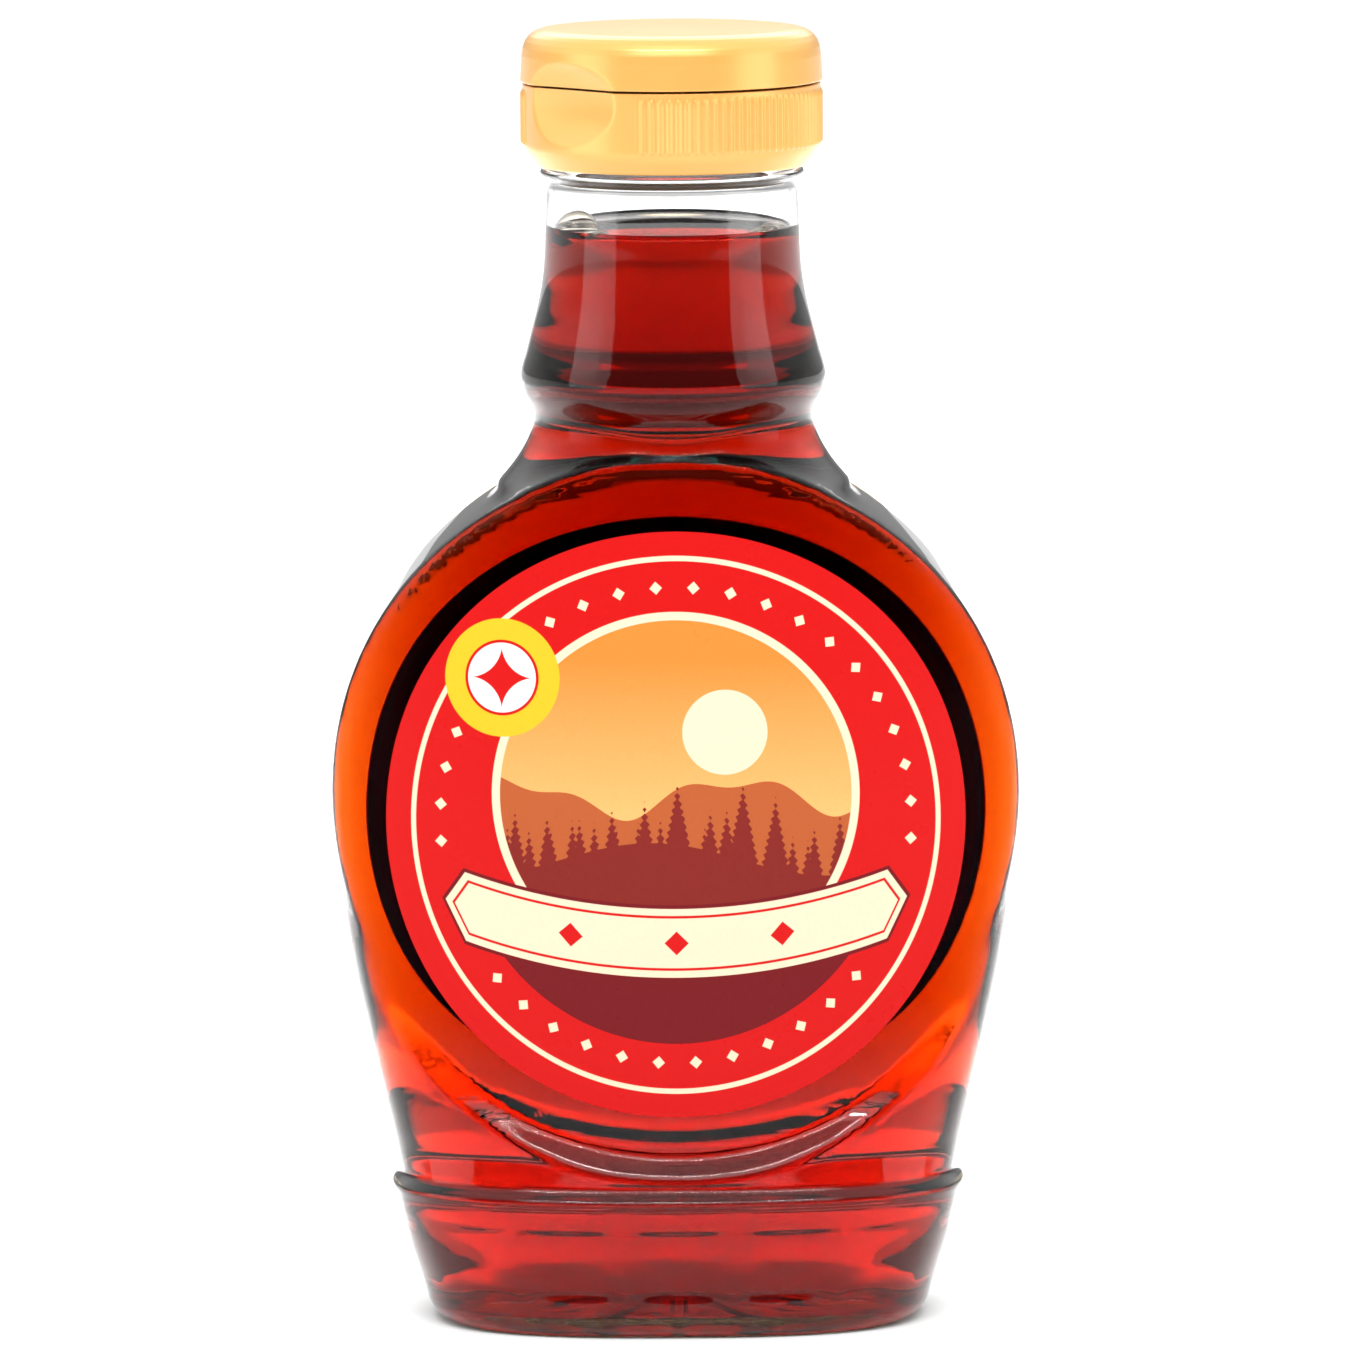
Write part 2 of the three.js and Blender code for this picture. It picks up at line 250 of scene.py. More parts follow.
def grid_piece(name, points, crease=None):
    """An object from grids of points in mm: columns close on themselves and poles are welded."""
    grids = points.reshape(-1, *points.shape[-3:])
    index = np.arange(grids[..., 0].size).reshape(grids.shape[:-1])
    near = index[:, :-1]
    far = index[:, 1:]
    faces = np.stack([near, np.roll(near, -1, 2), np.roll(far, -1, 2), far], axis=-1).reshape(-1, 4)
    mesh = bpy.data.meshes.new(name)
    mesh.from_pydata((grids.reshape(-1, 3) * MM).tolist(), [], faces.tolist())
    form = bmesh.new()
    form.from_mesh(mesh)
    bmesh.ops.remove_doubles(form, verts=form.verts, dist=1e-7)
    form.to_mesh(mesh)
    form.free()
    mesh.shade_smooth()
    if crease is not None:
        mesh.set_sharp_from_angle(angle=math.radians(crease))
    made = bpy.data.objects.new(name, mesh)
    bpy.context.scene.collection.objects.link(made)
    return made


class Shade:
    """One output of a shader node: operators on it add Math nodes, and node() adds any other."""

    def __init__(self, tree, socket=None):
        self.tree = tree
        self.socket = socket

    def node(self, kind, settings=None, sockets=None, output=0):
        """Adds a node: its settings are made first, then its sockets are set or linked."""
        made = self.tree.nodes.new(kind)
        for key, value in (settings or {}).items():
            setattr(made, key, value)
        for key, value in (sockets or {}).items():
            if isinstance(value, Shade):
                self.tree.links.new(value.socket, made.inputs[key])
            else:
                made.inputs[key].default_value = value
        return Shade(self.tree, made.outputs[output])

    def math(self, operation, *values, clamp=False):
        settings = {"operation": operation, "use_clamp": clamp}
        return self.node("ShaderNodeMath", settings, dict(enumerate(values)))

    def __add__(self, other):
        return self.math("ADD", self, other)

    def __sub__(self, other):
        return self.math("SUBTRACT", self, other)

    def __mul__(self, other):
        return self.math("MULTIPLY", self, other)

    def __radd__(self, other):
        return self.math("ADD", other, self)

    def __rsub__(self, other):
        return self.math("SUBTRACT", other, self)

    def __rmul__(self, other):
        return self.math("MULTIPLY", other, self)

    def __abs__(self):
        return self.math("ABSOLUTE", self)

    def larger(self, other):
        return self.math("MAXIMUM", self, other)

    def feed(self, node, socket):
        self.tree.links.new(self.socket, node.inputs[socket])


def new_material(name, piece, **sockets):
    """Gives the piece a new material; returns its surface node and its object coordinates."""
    material = bpy.data.materials.new(name)
    material.use_nodes = True
    piece.data.materials.append(material)
    tree = material.node_tree
    surface = tree.nodes["Principled BSDF"]
    for key, value in sockets.items():
        surface.inputs[key.replace("_", " ")].default_value = value
    return surface, Shade(tree).node("ShaderNodeTexCoord", output=3)


def noise(where, scale, detail=2.0):
    """Smooth noise from 0 to 1, with that many features in a metre."""
    return where.node("ShaderNodeTexNoise", {}, {"Vector": where, "Scale": scale, "Detail": detail})


def vary(value, low, high):
    """Moves a value that runs from 0 to 1 into another range."""
    return value.math("MULTIPLY_ADD", value, high - low, low)


def ramp(value, low, high):
    """0 where a value is below low, 1 where it is above high, and a straight rise between them."""
    return value.math("MULTIPLY_ADD", value, 1.0 / (high - low), -low / (high - low), clamp=True)


def along_axis(where, axis):
    """One coordinate of a place: X, Y or Z."""
    return where.node("ShaderNodeSeparateXYZ", {}, {"Vector": where}, output=axis)


def paint(base, share, colour):
    """Puts a colour over another where the share is 1."""
    return share.node("ShaderNodeMix", {"data_type": "RGBA"}, {0: share, 6: base, 7: colour}, output=2)


def bumped(surface, height, distance):
    """Lets a height from 0 to 1 turn the surface's normals, as a relief of that depth in metres."""
    height.node("ShaderNodeBump", {}, {"Distance": distance, "Height": height}).feed(surface, "Normal")


def wall_at(z):
    """Thickness of the wall at a height: a little under a millimetre, thicker at the neck."""
    return WALL + (NECK_WALL - WALL) * smooth_step(z, RING_Z, THROAT_TOP)


turn = np.linspace(0.0, 2.0 * math.pi, BOTTLE_COLUMNS, endpoint=False)[None, :]
outer_z = even_levels(0.0, MOUTH_Z, OUTER_ROWS)[:, None]
outer_wall = around(skin_radius(turn, outer_z, 0.0), turn, outer_z)
inner_z = even_levels(BASE_WALL, MOUTH_Z, INNER_ROWS)[::-1, None]
corner = np.clip(BASE_CORNER - (inner_z - BASE_WALL), 0.0, BASE_CORNER)
inner_inset = wall_at(inner_z) + BASE_CORNER - np.sqrt(BASE_CORNER**2 - corner**2)
inner_radius = skin_radius(turn, inner_z, inner_inset)
inner_radius = np.minimum(inner_radius, NECK_BORE + np.maximum(BORE_BOTTOM - inner_z, 0.0))
inner_wall = around(inner_radius, turn, inner_z)
share = np.linspace(0.0, 1.0, BASE_ROWS, endpoint=False)[:, None, None]
ribs = PUSH_RIB_HEIGHT * np.cos(PUSH_RIBS * turn[..., None] / 2.0) ** 6 * np.sin(math.pi * share)
rise = np.array([0.0, 0.0, 1.0]) * (PUSH_UP * (1.0 - share**2) ** 2 + ribs)
base_under = outer_wall[:1] * share + rise
base_inside = (inner_wall[-1:] * share * [1.0, 1.0, 0.0] + [0.0, 0.0, BASE_WALL] + rise)[::-1]
bottle = grid_piece("flask", np.concatenate([base_under, outer_wall, inner_wall, base_inside]))
surface, where = new_material(
    "clear_plastic",
    bottle,
    Transmission_Weight=1.0,
    IOR=1.5,
    Specular_Tint=(0.0, 0.0, 0.0, 1.0),
    Coat_Roughness=0.02,
)

# The wall above the syrup is painted grey: painted shade that dims the empty neck. Its gloss shows at
# the foot and the neck; in the middle the dark syrup behind it leaves little to see but the light that
# comes through.
height = along_axis(where, "Z")
# The painted shade starts at the top of the syrup and covers the empty neck.
headspace_shade = ramp(height, HEADSPACE_SHADE_FROM * MM, (HEADSPACE_SHADE_FROM + HEADSPACE_SHADE_OVER) * MM)
paint(CLEAR, headspace_shade, HEADSPACE_SHADE_GREY).feed(surface, "Base Color")
gloss = ramp(abs(height - DULL_MIDDLE * MM), DULL_REACH * MM, (DULL_REACH + DULL_FADE) * MM) * GLOSS
gloss.feed(surface, "Coat Weight")
vary(noise(where, 120.0), 0.01, 0.035).feed(surface, "Roughness")
bumped(surface, noise(where, 60.0, 1.0), 0.00006)
surface, where = new_material(
    "wetted_plastic",
    bottle,
    Base_Color=(1.0, 1.0, 1.0, 1.0),
    Transmission_Weight=1.0,
    IOR=1.5,
    Specular_Tint=(0.0, 0.0, 0.0, 1.0),
)
vary(noise(where, 120.0), 0.0, 0.01).feed(surface, "Roughness")
place = np.empty(len(bottle.data.polygons) * 3)
bottle.data.polygons.foreach_get("center", place)
x, y, z = place.reshape(-1, 3).T / MM
wetted = (bottle_field(x, y, z) < -WALL / 2.0) & (z < FILL_Z) & (z > BASE_WALL / 2.0)
bottle.data.polygons.foreach_set("material_index", wetted.astype(np.int32))
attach(bottle, "filled_bottle")
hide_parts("bottle")


# Syrup: the amber filling, up to the top of the neck, with a slight rise where it wets the wall.
# It is a clear liquid that takes most blue and much green out of the light that passes through it.
# Its side lies halfway into the wall so that no gap of air shows between the two. Bubbles dent its top:
# each is given as its place and its radius.
SYRUP_ROWS = 150
TOP_ROWS = 24
MENISCUS_RISE = 0.9
MENISCUS_WIDTH = 1.6
TOP_CROWDING = 1.6
AMBER = (0.880, 0.587, 0.0, 1.0)
SYRUP_DENSITY = 460.0
BUBBLE_SINK = 0.35
BUBBLES = np.array(
    [
        (-12.4, -2.6, 2.9),
        (-14.3, 3.2, 1.1),
        (-9.3, -10.6, 1.2),
        (12.6, -5.0, 1.5),
        (14.2, -2.2, 1.1),
        (10.6, -8.6, 1.0),
        (13.9, 0.6, 0.9),
        (8.9, -11.3, 0.7),
        (14.6, -4.1, 0.6),
        (11.3, -3.3, 0.6),
    ]
)

syrup_z = even_levels(BASE_WALL / 2.0, FILL_Z + MENISCUS_RISE, SYRUP_ROWS)[:, None]
corner = np.clip(BASE_CORNER - (syrup_z - BASE_WALL / 2.0), 0.0, BASE_CORNER)
syrup_inset = wall_at(syrup_z) / 2.0 + BASE_CORNER - np.sqrt(BASE_CORNER**2 - corner**2)
syrup_side = around(skin_radius(turn, syrup_z, syrup_inset), turn, syrup_z)
inward = 1.0 - np.linspace(0.0, 1.0, TOP_ROWS + 1)[1:, None, None] ** TOP_CROWDING
from_wall = (1.0 - inward) * NECK_RADIUS
top_z = FILL_Z + MENISCUS_RISE * np.exp(-from_wall / MENISCUS_WIDTH)
syrup_top = syrup_side[-1:] * inward * [1.0, 1.0, 0.0] + top_z * [0.0, 0.0, 1.0]
for at_x, at_y, size in BUBBLES:
    away = np.hypot(syrup_top[..., 0] - at_x, syrup_top[..., 1] - at_y)
    syrup_top[..., 2] -= BUBBLE_SINK * 2.0 * np.sqrt(np.maximum(size**2 - away**2, 0.0))
syrup_base = syrup_side[:1] * share * [1.0, 1.0, 0.0] + rise + [0.0, 0.0, BASE_WALL / 2.0]
syrup = grid_piece("syrup_fill", np.concatenate([syrup_base, syrup_side, syrup_top]))
surface, where = new_material(
    "syrup",
    syrup,
    Base_Color=(1.0, 1.0, 1.0, 1.0),
    Transmission_Weight=1.0,
    IOR=1.46,
    Specular_Tint=(0.0, 0.0, 0.0, 1.0),
)
vary(noise(where, 40.0), 0.0, 0.02).feed(surface, "Roughness")
amber_filter = {"Color": AMBER, "Density": SYRUP_DENSITY}
absorption = where.node("ShaderNodeVolumeAbsorption", {}, amber_filter)
absorption.feed(where.tree.nodes["Material Output"], "Volume")
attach(syrup, "filled_bottle")
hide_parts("syrup")


# Bubbles: domes of thin syrup film that stand on the surface against the wall of the neck.
# One is large, at the left, and a few small ones lie along the wall at the right.
BUBBLE_FILM = 0.1
DOME_ROWS = 13
DOME_COLUMNS = 40

rise_angle = np.linspace(0.0, math.pi / 2.0, DOME_ROWS)
dome_angle = np.concatenate([rise_angle[::-1], rise_angle])[None, :, None]
dome_turn = np.linspace(0.0, 2.0 * math.pi, DOME_COLUMNS, endpoint=False)[None, None, :]
film_inset = np.repeat([BUBBLE_FILM, 0.0], DOME_ROWS)[None, :, None]
dome_size = BUBBLES[:, 2, None, None] - film_inset
domes = around(dome_size * np.cos(dome_angle), dome_turn, FILL_Z + dome_size * np.sin(dome_angle))
domes[..., :2] += BUBBLES[:, None, None, :2]
bubbles = grid_piece("surface_bubbles", domes)
surface, where = new_material(
    "bubble_film", bubbles, Base_Color=(1.0, 0.97, 0.9, 1.0), Transmission_Weight=1.0, IOR=1.4
)
vary(noise(where, 300.0), 0.0, 0.03).feed(surface, "Roughness")
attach(bubbles, "filled_bottle")


# Front label: a round sheet of printed film, stuck on the front face and curved with it.
# The print is red with a cream line, a round picture of a sunset over hills, and a cream ribbon.
# A small yellow seal is printed at its upper left. The film has a satin sheen.
LABEL_HALF_WIDTH = 39.4
LABEL_HALF_HEIGHT = 38.9
LABEL_Z = 68.4
LABEL_FILM = 0.12
LABEL_GAP = 0.04
LABEL_COLUMNS = 192
LABEL_ROWS = 60
UNDER_ROWS = 8
LABEL_CREASE = 40.0
EDGE_SOFT = 0.09
EDGE_LINE = 35.4
EDGE_LINE_HALF = 0.35
DIAMONDS = 40
DIAMOND_RING = 31.6
DIAMOND_PITCH = 5.1
DIAMOND_HALF = 0.85
FIELD_RADIUS = 29.0
PICTURE_UP = 4.0
PICTURE_RADIUS = 24.4
PICTURE_FRAME = 1.1
SKY_BOTTOM = -3.9
SKY_TOP = 22.1
SUN_X = 6.5
SUN_Y = 12.5
SUN_RADIUS = 5.6
RIBBON_Y = -15.5
RIBBON_BEND = 0.0055
RIBBON_HALF = 4.6
RIBBON_REACH = 31.0
RIBBON_POINT = 0.6
RIBBON_EDGE = 0.5
RIBBON_CLEAR = 2.2
RIBBON_LINE = 1.1
RIBBON_LINE_HALF = 0.18
RIBBON_CLEAR_FROM = 29.5
MARK_PITCH = 7.0
MARK_HALF = 1.6
MARKS_REACH = 17.0
SEAL_X = -23.0
SEAL_Y = 19.5
SEAL_RADIUS = 7.8
SEAL_RING = 5.0
SEAL_FIELD = 4.6
STAR_POWER = 0.6
STAR_SIZE = 2.35
RED = (0.55, 0.006, 0.006, 1.0)
DEEP_RED = (0.15, 0.007, 0.010, 1.0)
CREAM = (0.80, 0.62, 0.44, 1.0)
YELLOW = (0.80, 0.45, 0.02, 1.0)
WHITE = (0.80, 0.79, 0.77, 1.0)
SKY_HIGH = (0.66, 0.22, 0.036, 1.0)
SKY_LOW = (0.77, 0.45, 0.16, 1.0)
FAR_HILL = (0.42, 0.095, 0.028, 1.0)
NEAR_HILL = (0.20, 0.017, 0.013, 1.0)


def label_sheet(name, side, middle_z, half_width, half_height):
    """A film oval rolled on the bowed face: across it bends on the face's circle, upwards it leans."""
    over = np.linspace(0.0, 1.0, LABEL_ROWS)
    under = np.linspace(1.0, 0.0, UNDER_ROWS)
    ring = np.concatenate([over, under])[:, None]
    lift = LABEL_GAP + LABEL_FILM * np.concatenate([np.ones(LABEL_ROWS), np.zeros(UNDER_ROWS)])[:, None]
    angle = np.linspace(0.0, 2.0 * math.pi, LABEL_COLUMNS, endpoint=False)[None, :]
    across = half_width * ring * np.sin(angle)
    z = middle_z - half_height * ring * np.cos(angle)
    bend = across / PANEL_BOW_RADIUS
    reach = PANEL_BOW_RADIUS + lift
    depth = panel_depth(0.0, z) - PANEL_BOW_RADIUS + reach * np.cos(bend)
    points = np.stack([side * reach * np.sin(bend), -side * depth, z], axis=-1)
    made = grid_piece(name, points[::-1], crease=LABEL_CREASE)
    print_map = made.data.uv_layers.new(name="print")
    place = np.empty(len(made.data.vertices) * 3)
    made.data.vertices.foreach_get("co", place)
    corner_of = np.empty(len(made.data.loops), dtype=np.int32)
    made.data.loops.foreach_get("vertex_index", corner_of)
    place = place.reshape(-1, 3)[corner_of] / MM
    flat_x = np.arctan2(side * place[:, 0], PANEL_BOW_RADIUS - PANEL_HALF_DEPTH - side * place[:, 1])
    flat = np.stack([flat_x * PANEL_BOW_RADIUS, place[:, 2] - middle_z], axis=-1)
    print_map.data.foreach_set("uv", (flat / (2.0 * LABEL_HALF_WIDTH) + 0.5).ravel())
    return made


def print_place(tree):
    """The place on the flat label, in mm right and up from its middle."""
    map_node = Shade(tree).node("ShaderNodeUVMap", {"uv_map": "print"})
    right = along_axis(map_node, "X") - 0.5
    up = along_axis(map_node, "Y") - 0.5
    return right * (2.0 * LABEL_HALF_WIDTH), up * (2.0 * LABEL_HALF_WIDTH)


def inside(distance):
    """1 where a distance in mm is below zero, 0 where it is above, with a soft printed edge."""
    return distance.math("MULTIPLY_ADD", distance, -1.0 / EDGE_SOFT, 0.5, clamp=True)


def from_point(x, y, at_x, at_y):
    """Distance in mm from a point of the flat label."""
    away_x = x - at_x
    away_y = y - at_y
    squares = away_x * away_x + away_y * away_y
    return squares.math("SQRT", squares)


def finish_print(surface, where, ink, smooth, dull):
    """Feeds the ink to a label with a fine grain, uneven gloss between two values and a slight wave."""
    grain = vary(noise(where, 2500.0, 3.0), 0.93, 1.04)
    ink = ink.node("ShaderNodeVectorMath", {"operation": "SCALE"}, {0: ink, "Scale": grain})
    ink.feed(surface, "Base Color")
    vary(noise(where, 260.0), smooth, dull).feed(surface, "Roughness")
    bumped(surface, noise(where, 140.0), 0.00004)


front_label = label_sheet("front_label_film", 1.0, LABEL_Z, LABEL_HALF_WIDTH, LABEL_HALF_HEIGHT)
surface, where = new_material("front_print", front_label, Specular_IOR_Level=0.1)
x, y = print_place(where.tree)
middle = from_point(x, y, 0.0, 0.0)
ink = paint(RED, inside(abs(middle - EDGE_LINE) - EDGE_LINE_HALF), CREAM)

# The ring of small diamonds lies between the edge line and the picture.
ring_angle = y.math("ARCTAN2", y, x) * (DIAMONDS / (2.0 * math.pi))
cell = ring_angle.math("FRACT", ring_angle) - 0.5
diamond = abs(cell) * DIAMOND_PITCH + abs(middle - DIAMOND_RING) - DIAMOND_HALF
ink = paint(ink, inside(diamond), CREAM)

# The lower field is deep red, under the ribbon.
ribbon_line = x.math("MULTIPLY_ADD", x * x, RIBBON_BEND, RIBBON_Y)
over_line = y - ribbon_line
ink = paint(ink, inside(over_line.larger(middle - FIELD_RADIUS)), DEEP_RED)

# The picture: sky, sun, two lines of hills made of sine waves, and two rows of firs. A row has its
# spacing, its shift, its height and how far its feet lie below the near hill.
picture = from_point(x, y, 0.0, PICTURE_UP)
ink = paint(ink, inside(picture - PICTURE_RADIUS), CREAM)
in_picture = inside(picture - (PICTURE_RADIUS - PICTURE_FRAME))
sky = paint(SKY_LOW, ramp(y, SKY_BOTTOM, SKY_TOP), SKY_HIGH)
sun = from_point(x, y, SUN_X, SUN_Y)
sky = paint(sky, inside(sun - SUN_RADIUS), CREAM)
far_line = x.math("SINE", x * 0.21) * 2.2 + x.math("SINE", x * 0.47 + 1.3) * 1.0 + 4.0
sky = paint(sky, inside(y - far_line), FAR_HILL)
near_line = x.math("SINE", x * 0.13 + 2.0) * 2.4 - 4.5
for pitch, shift, height, low in ((2.9, 0.2, 6.5, 0.8), (4.3, 0.45, 10.0, 0.0)):
    tree_place = x * (1.0 / pitch) + shift
    tree_cell = tree_place.math("FLOOR", tree_place)
    tall = tree_cell.node("ShaderNodeTexWhiteNoise", {"noise_dimensions": "1D"}, {"W": tree_cell})
    tall = vary(tall, 0.35 * height, height)
    off_axis = abs(tree_place.math("FRACT", tree_place) - 0.5) * pitch
    up_tree = y - near_line + low
    notch = up_tree.math("PINGPONG", up_tree * 0.9, 0.45) * 0.9
    fir = off_axis + up_tree * 0.2 - tall * 0.2 - notch + 0.15
    sky = paint(sky, inside(fir), NEAR_HILL)
sky = paint(sky, inside(y - near_line), NEAR_HILL)
ink = paint(ink, in_picture, sky)

# The ribbon is plain, with a thin line along each edge and three diamonds in its middle. The ring of
# diamonds stops short of its ends.
across = abs(over_line)
ribbon = (across - RIBBON_HALF).larger(abs(x) - RIBBON_REACH + across * RIBBON_POINT)
around_ends = (ribbon - RIBBON_CLEAR).larger(RIBBON_CLEAR_FROM - middle)
ink = paint(ink, inside(around_ends), RED)
ink = paint(ink, inside(ribbon - RIBBON_EDGE), DEEP_RED)
ink = paint(ink, inside(ribbon), CREAM)
ink = paint(ink, inside(abs(ribbon + RIBBON_LINE) - RIBBON_LINE_HALF), RED)
mark = x.math("PINGPONG", x, MARK_PITCH) + across - MARK_HALF
ink = paint(ink, inside(mark.larger(abs(x) - MARKS_REACH)), RED)

# The seal: a yellow disc with a white middle and a small red star.
seal = from_point(x, y, SEAL_X, SEAL_Y)
ink = paint(ink, inside(seal - SEAL_RADIUS), YELLOW)
ink = paint(ink, inside(seal - SEAL_RING), RED)
ink = paint(ink, inside(seal - SEAL_FIELD), WHITE)
reach_x = abs(x - SEAL_X)
reach_y = abs(y - SEAL_Y)
star = reach_x.math("POWER", reach_x, STAR_POWER) + reach_y.math("POWER", reach_y, STAR_POWER)
ink = paint(ink, inside(star - STAR_SIZE), RED)
finish_print(surface, where, ink, 0.24, 0.34)
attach(front_label, "filled_bottle")
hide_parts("front_label")


# Back label: a second round sheet of the same film on the back face, seen through the syrup as a
# dark disc. Its print is kept plain: a red edge, a cream panel and a few thin rules.
BACK_Z = 67.2
BACK_HALF_WIDTH = 39.4
BACK_HALF_HEIGHT = 38.5
PAGE_HALF_WIDTH = 25.0
PAGE_HALF_HEIGHT = 17.0
RULE_PITCH = 3.0
RULE_HALF = 0.16
RULES_HALF_WIDTH = 20.0
RULES_HALF_HEIGHT = 13.0

back_label = label_sheet("back_label_film", -1.0, BACK_Z, BACK_HALF_WIDTH, BACK_HALF_HEIGHT)
surface, where = new_material("back_print", back_label, Specular_IOR_Level=0.2)
x, y = print_place(where.tree)
middle = from_point(x, y, 0.0, 0.0)
ink = paint(RED, inside(abs(middle - EDGE_LINE) - EDGE_LINE_HALF), CREAM)
page = (abs(x) - PAGE_HALF_WIDTH).larger(abs(y) - PAGE_HALF_HEIGHT)
ink = paint(ink, inside(page), CREAM)
rule = abs(y.math("PINGPONG", y, RULE_PITCH) - RULE_PITCH / 2.0) - RULE_HALF
rule = rule.larger(abs(x) - RULES_HALF_WIDTH).larger(abs(y) - RULES_HALF_HEIGHT)
ink = paint(ink, inside(rule), DEEP_RED)
finish_print(surface, where, ink, 0.28, 0.4)
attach(back_label, "filled_bottle")
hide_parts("back_label")


# Cap base: the screwed skirt of the cap, injection-moulded in pearly gold plastic.
# Fine upright ribs run round it except at the hinge and at a round thumb hollow, front left.
# Its flat deck, with a short spout collar, is hidden while the lid is shut.
SKIRT_RADIUS = 19.6
SKIRT_BOTTOM = 153.9
SKIRT_CHAMFER = 2.3
SKIRT_INSET = 1.4
SKIRT_BORE = 17.0
SKIRT_SHAPED = 17.2
SEAM_Z = 164.8
SEAM_GAP = 0.3
DECK_THICKNESS = 2.4
COLLAR_RADIUS = 6.2
COLLAR_WALL = 1.2
COLLAR_HEIGHT = 2.0
SPOUT_DIP = 0.8
RIBS = 106
RIB_HEIGHT = 0.32
RIB_BOTTOM = 156.6
RIB_TOP = 163.9
RIB_RUN_IN = 0.4
RIB_RUN_OUT = 0.3
RIB_FADE = 0.02
RIB_ROOT = 19.55
THUMB_ANGLE = math.radians(-45.0)
THUMB_FREE = math.radians(31.0)
HINGE_FREE = math.radians(16.0)
THUMB_Z = 162.8
THUMB_AWAY = 26.0
THUMB_DEEP = 8.2
THUMB_WIDE = 30.0
THUMB_TALL = 8.5
THUMB_SOFT = 0.18
NO_CUT = 99.0
SKIRT_COLUMNS = 848
CORNER_STEPS = 7
OUTLINE_STEP = 0.4
CAP_CREASE = 50.0
GOLD = (0.70, 0.345, 0.066, 1.0)
GOLD_PALE = (0.76, 0.42, 0.115, 1.0)


def outline(corners, shaped_from):
    """A turned outline from corners (radius, height, rounding), with points close together past a radius.

    Each corner becomes a curve of the second degree. A long straight line gets a point near each end,
    which keeps its shading flat.
    """
    points = np.array([c[:2] for c in corners])
    parts = [points[:1]]
    bend = np.linspace(0.0, 1.0, CORNER_STEPS)[:, None]
    for before, at, after, rounding in zip(points, points[1:], points[2:], [c[2] for c in corners[1:]]):
        start = at + (before - at) * (rounding / np.hypot(*(before - at)))
        end = at + (after - at) * (rounding / np.hypot(*(after - at)))
        parts.append((1.0 - bend) ** 2 * start + 2.0 * bend * (1.0 - bend) * at + bend**2 * end)
    parts.append(points[-1:])
    line = np.concatenate(parts)
    along = np.concatenate([[0.0], np.cumsum(np.hypot(*np.diff(line, axis=0).T))])
    straight = np.diff(along) > 3.0 * OUTLINE_STEP
    near_ends = [along[:-1][straight] + OUTLINE_STEP, along[1:][straight] - OUTLINE_STEP]
    close = np.arange(0.0, along[-1], OUTLINE_STEP)
    close = close[np.interp(close, along, line[:, 0]) > shaped_from]
    stations = np.unique(np.round(np.concatenate([along, *near_ends, close]), 4))
    return np.interp(stations, along, line[:, 0]), np.interp(stations, along, line[:, 1])


def thumb_cut(radius, angle, z):
    """Radius kept outside the thumb hollow: the near side of an ellipsoid on the hollow's axis."""
    from_thumb = angle - THUMB_ANGLE
    ahead = np.cos(from_thumb) / THUMB_DEEP**2
    a = np.cos(from_thumb) * ahead + (np.sin(from_thumb) / THUMB_WIDE) ** 2
    c = (THUMB_AWAY / THUMB_DEEP) ** 2 + ((z - THUMB_Z) / THUMB_TALL) ** 2 - 1.0
    inner = (THUMB_AWAY * ahead) ** 2 - a * c
    near = (THUMB_AWAY * ahead - np.sqrt(np.maximum(inner, 0.0))) / a
    near = np.where((inner > 0.0) & (np.cos(from_thumb) > 0.0), near, NO_CUT)
    return soft_min(radius, near, THUMB_SOFT)


def wrapped(angle):
    """An angle brought between minus half a turn and half a turn."""
    return (angle + math.pi) % (2.0 * math.pi) - math.pi


def gold_plastic(name, piece):
    """Pearly gold moulded plastic: warm yellow with faint drifts of pearl and a soft gloss."""
    surface, where = new_material(
        name, piece, IOR=1.5, Metallic=0.25, Coat_Weight=0.25, Coat_Roughness=0.2
    )
    drift = noise(where, 90.0, 3.0)
    fleck = noise(where, 6000.0, 2.0)
    shade = vary(drift, 0.0, 0.8) + vary(fleck, 0.0, 0.2)
    paint(GOLD, shade, GOLD_PALE).feed(surface, "Base Color")
    vary(noise(where, 700.0), 0.27, 0.36).feed(surface, "Roughness")
    bumped(surface, fleck, 0.000004)


deck_top = SEAM_Z - SEAM_GAP / 2.0
skirt_r, skirt_z = outline(
    [
        (0.0, deck_top - DECK_THICKNESS, 0.0),
        (SKIRT_BORE, deck_top - DECK_THICKNESS, 0.6),
        (SKIRT_BORE, SKIRT_BOTTOM, 0.25),
        (SKIRT_RADIUS - SKIRT_INSET, SKIRT_BOTTOM, 0.3),
        (SKIRT_RADIUS, SKIRT_BOTTOM + SKIRT_CHAMFER, 0.9),
        (SKIRT_RADIUS, deck_top, 0.15),
        (COLLAR_RADIUS, deck_top, 0.3),
        (COLLAR_RADIUS, deck_top + COLLAR_HEIGHT, 0.3),
        (COLLAR_RADIUS - COLLAR_WALL, deck_top + COLLAR_HEIGHT, 0.3),
        (COLLAR_RADIUS - COLLAR_WALL, deck_top - SPOUT_DIP, 0.5),
        (0.0, deck_top - SPOUT_DIP, 0.0),
    ],
    SKIRT_SHAPED,
)
skirt_turn = np.linspace(0.0, 2.0 * math.pi, SKIRT_COLUMNS, endpoint=False)[None, :]
skirt_r = skirt_r[:, None]
skirt_z = skirt_z[:, None]
to_thumb = np.abs(wrapped(skirt_turn - THUMB_ANGLE))
ribbed = smooth_step(to_thumb, THUMB_FREE, THUMB_FREE + RIB_FADE)
ribbed = ribbed * smooth_step(math.pi - to_thumb, HINGE_FREE, HINGE_FREE + RIB_FADE)
ribbed = ribbed * smooth_step(skirt_z, RIB_BOTTOM, RIB_BOTTOM + RIB_RUN_IN)
ribbed = ribbed * (1.0 - smooth_step(skirt_z, RIB_TOP - RIB_RUN_OUT, RIB_TOP))
ribbed = ribbed * (skirt_r > RIB_ROOT)
wave = 0.5 + 0.5 * np.cos(RIBS * (skirt_turn - THUMB_ANGLE))
